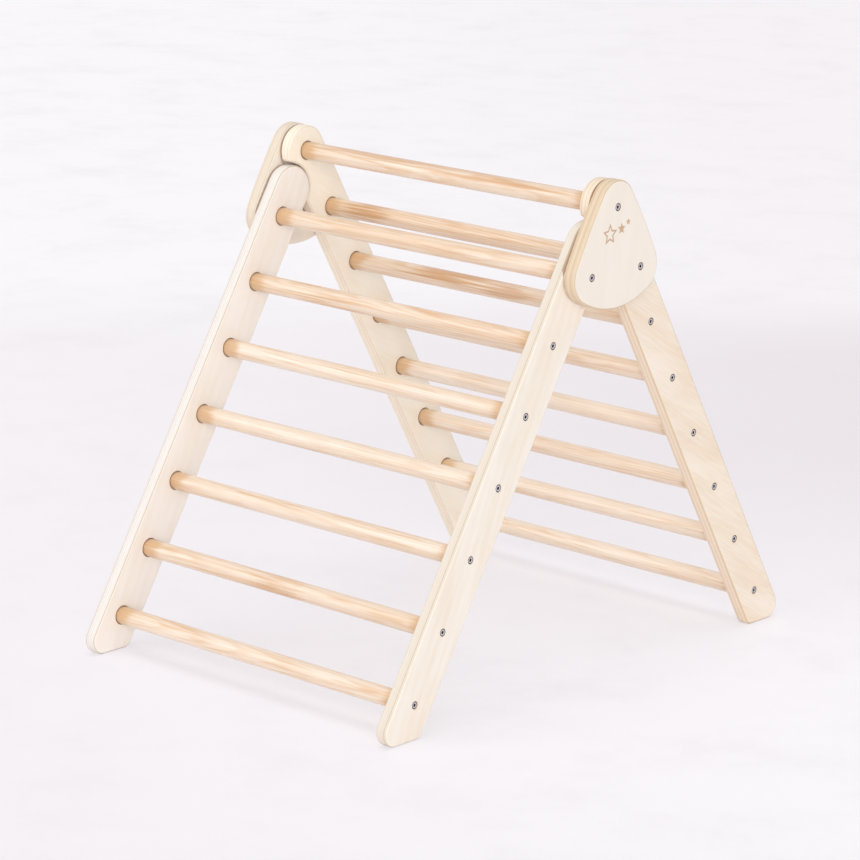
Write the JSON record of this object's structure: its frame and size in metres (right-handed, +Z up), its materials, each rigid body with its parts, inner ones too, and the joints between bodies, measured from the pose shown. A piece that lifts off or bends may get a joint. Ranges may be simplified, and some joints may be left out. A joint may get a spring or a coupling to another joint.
{
  "type": "folding climbing triangle",
  "caption": "Folding climbing triangle for children: a pair of rung ladders of plywood rails and round dowels, hinged at bolted apex plates so that it stands open or folds flat",
  "frame": {"origin": "on the floor, midway between the ladders' outermost toes and midway between the rails", "axes": "+X along the rungs to the side that is near in the picture, +Y from the front ladder to the back ladder, +Z up"},
  "size_m": [0.6, 0.8228, 0.6871],
  "materials": {
    "birch_ply": "birch plywood, sanded, clear matt lacquer",
    "pine_dowel": "turned softwood dowel, clear satin lacquer",
    "zinc_steel": "zinc plated socket cap bolts",
    "washer_steel": "zinc plated flat washers",
    "insert_steel": "yellow zinc threaded inserts"
  },
  "bodies": {
    "back_frame": {"back_rail_left": "birch_ply", "back_rail_right": "birch_ply", "apex_plate_left": "birch_ply", "apex_plate_right": "birch_ply", "top_rung": "pine_dowel", "back_rung_2": "pine_dowel", "back_rung_3": "pine_dowel", "back_rung_4": "pine_dowel", "back_rung_5": "pine_dowel", "back_rung_6": "pine_dowel", "back_rung_7": "pine_dowel", "back_rung_8": "pine_dowel", "rail_bolts_back_left": "zinc_steel", "rail_bolts_back_right": "zinc_steel", "plate_bolts_left": "zinc_steel", "plate_bolts_right": "zinc_steel", "plate_washers_left": "washer_steel", "plate_washers_right": "washer_steel", "inserts_back_left": "insert_steel", "inserts_back_right": "insert_steel"},
    "front_frame": {"front_rail_left": "birch_ply", "front_rail_right": "birch_ply", "pivot_rung": "pine_dowel", "front_rung_2": "pine_dowel", "front_rung_3": "pine_dowel", "front_rung_4": "pine_dowel", "front_rung_5": "pine_dowel", "front_rung_6": "pine_dowel", "front_rung_7": "pine_dowel", "rail_bolts_front_left": "zinc_steel", "rail_bolts_front_right": "zinc_steel", "pivot_bolt_left": "zinc_steel", "pivot_bolt_right": "zinc_steel", "pivot_washer_left": "washer_steel", "pivot_washer_right": "washer_steel", "inserts_front_left": "insert_steel", "inserts_front_right": "insert_steel"}
  },
  "joints": [
    {"name": "front_fold", "type": "hinge", "parent": "back_frame", "child": "front_frame", "pos_m": [0, -0.05039, 0.56383], "axis": [1, 0, 0], "range_deg": [0, 61.5]}
  ]
}
